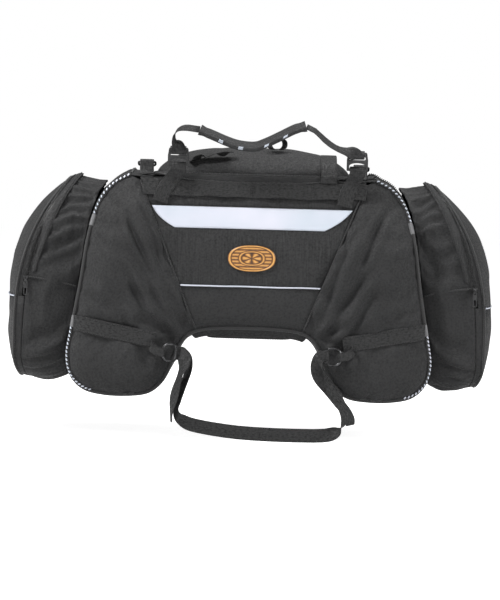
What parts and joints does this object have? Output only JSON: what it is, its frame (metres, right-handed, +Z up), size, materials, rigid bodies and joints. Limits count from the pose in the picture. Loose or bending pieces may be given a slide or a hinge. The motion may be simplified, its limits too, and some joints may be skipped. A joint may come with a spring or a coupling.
{
  "type": "motorcycle tail bag",
  "caption": "Saddle-shaped fabric duffel that straddles a motorcycle's rear seat, with a zipped lid, zipped end pockets, a carry handle, D-rings and an under-seat strap.",
  "frame": {"origin": "centre of the flat underside of the pad that rests on the seat", "axes": "+Z up, -Y out of the face with the badge and the handle, +X to the right-hand end pocket, along the longest side"},
  "size_m": [0.761, 0.3495, 0.4966],
  "materials": {
    "body_fabric": "charcoal woven nylon, matt",
    "rib_fabric": "charcoal fabric with a fine vertical rib",
    "webbing": "black woven webbing",
    "reflective": "silver reflective cloth",
    "badge": "tan moulded patch",
    "plastic": "black satin moulded plastic",
    "ring_metal": "dark plated wire with bright edges",
    "zip": "black coil zip",
    "piping": "black rope piping, partly with reflective flecks",
    "grip": "dark grey padded wrap",
    "seat_pad": "black anti-slip pad"
  },
  "bodies": {
    "bag": {"front_top_band": "rib_fabric", "front_mid_panel": "rib_fabric", "front_lower_panel": "body_fabric", "front_left_panel": "body_fabric", "front_right_panel": "body_fabric", "back_center_panel": "body_fabric", "back_left_panel": "body_fabric", "back_right_panel": "body_fabric", "gusset_left": "body_fabric", "gusset_right": "body_fabric", "saddle_panel": "body_fabric", "seat_pad": "seat_pad", "saddle_board": "plastic", "shoulder_left": "body_fabric", "shoulder_right": "body_fabric", "reflective_band": "reflective", "reflective_piping": "reflective", "badge": "badge", "molle_webbing": "webbing", "piping_front": "piping", "piping_back": "piping", "leg_belt_left": "webbing", "leg_belt_right": "webbing", "front_strap_left": "webbing", "front_strap_right": "webbing", "pocket_gusset_left": "body_fabric", "pocket_gusset_right": "body_fabric", "pocket_lower_left": "body_fabric", "pocket_lower_right": "body_fabric", "pocket_zip_left": "zip", "pocket_zip_right": "zip", "main_zip": "zip", "shoulder_webbing_left": "webbing", "shoulder_webbing_right": "webbing"},
    "lid": {"lid_panel": "rib_fabric", "lid_flap": "body_fabric", "lid_strap": "webbing", "lid_loop": "webbing"},
    "main_slider": {"main_slider": "plastic"},
    "main_pull": {"main_pull": "plastic"},
    "pocket_flap_left": {"pocket_flap_left": "body_fabric"},
    "pocket_flap_right": {"pocket_flap_right": "body_fabric"},
    "pocket_slider_left": {"pocket_slider_left": "plastic"},
    "pocket_slider_right": {"pocket_slider_right": "plastic"},
    "pocket_pull_left": {"pocket_pull_left": "plastic"},
    "pocket_pull_right": {"pocket_pull_right": "plastic"},
    "handle": {"handle_web_left": "webbing", "handle_web_right": "webbing", "handle_grip": "grip", "ladder_lock_left": "plastic", "ladder_lock_right": "plastic"},
    "under_strap": {"lower_ring_left": "ring_metal", "lower_ring_right": "ring_metal", "ring_tab_left": "webbing", "ring_tab_right": "webbing", "under_seat_strap": "webbing", "strap_tail_left": "webbing", "strap_tail_right": "webbing"},
    "shoulder_ring_left": {"shoulder_ring_left": "ring_metal"},
    "shoulder_ring_right": {"shoulder_ring_right": "ring_metal"}
  },
  "joints": [
    {"name": "lid_hinge", "type": "hinge", "parent": "bag", "child": "lid", "pos_m": [0, 0.134, 0.25], "axis": [-1, 0, 0], "range_deg": [0, 100]},
    {"name": "main_zip_slide", "type": "slide", "parent": "bag", "child": "main_slider", "axis": [0, 1, 0], "range_m": [0, 0.12]},
    {"name": "main_pull_hinge", "type": "hinge", "parent": "main_slider", "child": "main_pull", "pos_m": [0.161, -0.072, 0.2607], "axis": [0, -1, 0], "range_deg": [0, 120]},
    {"name": "pocket_flap_left_hinge", "type": "hinge", "parent": "bag", "child": "pocket_flap_left", "pos_m": [-0.382, 0, 0.059], "axis": [0, -1, 0], "range_deg": [0, 80]},
    {"name": "pocket_zip_left_slide", "type": "slide", "parent": "bag", "child": "pocket_slider_left", "axis": [0.1951, 0.069, 0.9784], "range_m": [0, 0.036]},
    {"name": "pocket_pull_left_hinge", "type": "hinge", "parent": "pocket_slider_left", "child": "pocket_pull_left", "pos_m": [-0.3493, -0.1356, 0.0831], "axis": [-1, 0, 0], "range_deg": [0, 150]},
    {"name": "pocket_flap_right_hinge", "type": "hinge", "parent": "bag", "child": "pocket_flap_right", "pos_m": [0.382, 0, 0.059], "axis": [0, 1, 0], "range_deg": [0, 80]},
    {"name": "pocket_zip_right_slide", "type": "slide", "parent": "bag", "child": "pocket_slider_right", "axis": [-0.1951, 0.069, 0.9784], "range_m": [0, 0.036]},
    {"name": "pocket_pull_right_hinge", "type": "hinge", "parent": "pocket_slider_right", "child": "pocket_pull_right", "pos_m": [0.3493, -0.1356, 0.0831], "axis": [-1, 0, 0], "range_deg": [0, 150]},
    {"name": "handle_swing", "type": "hinge", "parent": "bag", "child": "handle", "pos_m": [0, -0.158, 0.27], "axis": [1, 0, 0], "range_deg": [0, 110]},
    {"name": "under_strap_swing", "type": "hinge", "parent": "bag", "child": "under_strap", "pos_m": [0, -0.17, -0.02], "axis": [-1, 0, 0], "range_deg": [0, 45]},
    {"name": "shoulder_ring_left_hinge", "type": "hinge", "parent": "bag", "child": "shoulder_ring_left", "pos_m": [-0.166, -0.118, 0.273], "axis": [1, 0, 0], "range_deg": [0, 120]},
    {"name": "shoulder_ring_right_hinge", "type": "hinge", "parent": "bag", "child": "shoulder_ring_right", "pos_m": [0.166, -0.118, 0.273], "axis": [1, 0, 0], "range_deg": [0, 120]}
  ]
}
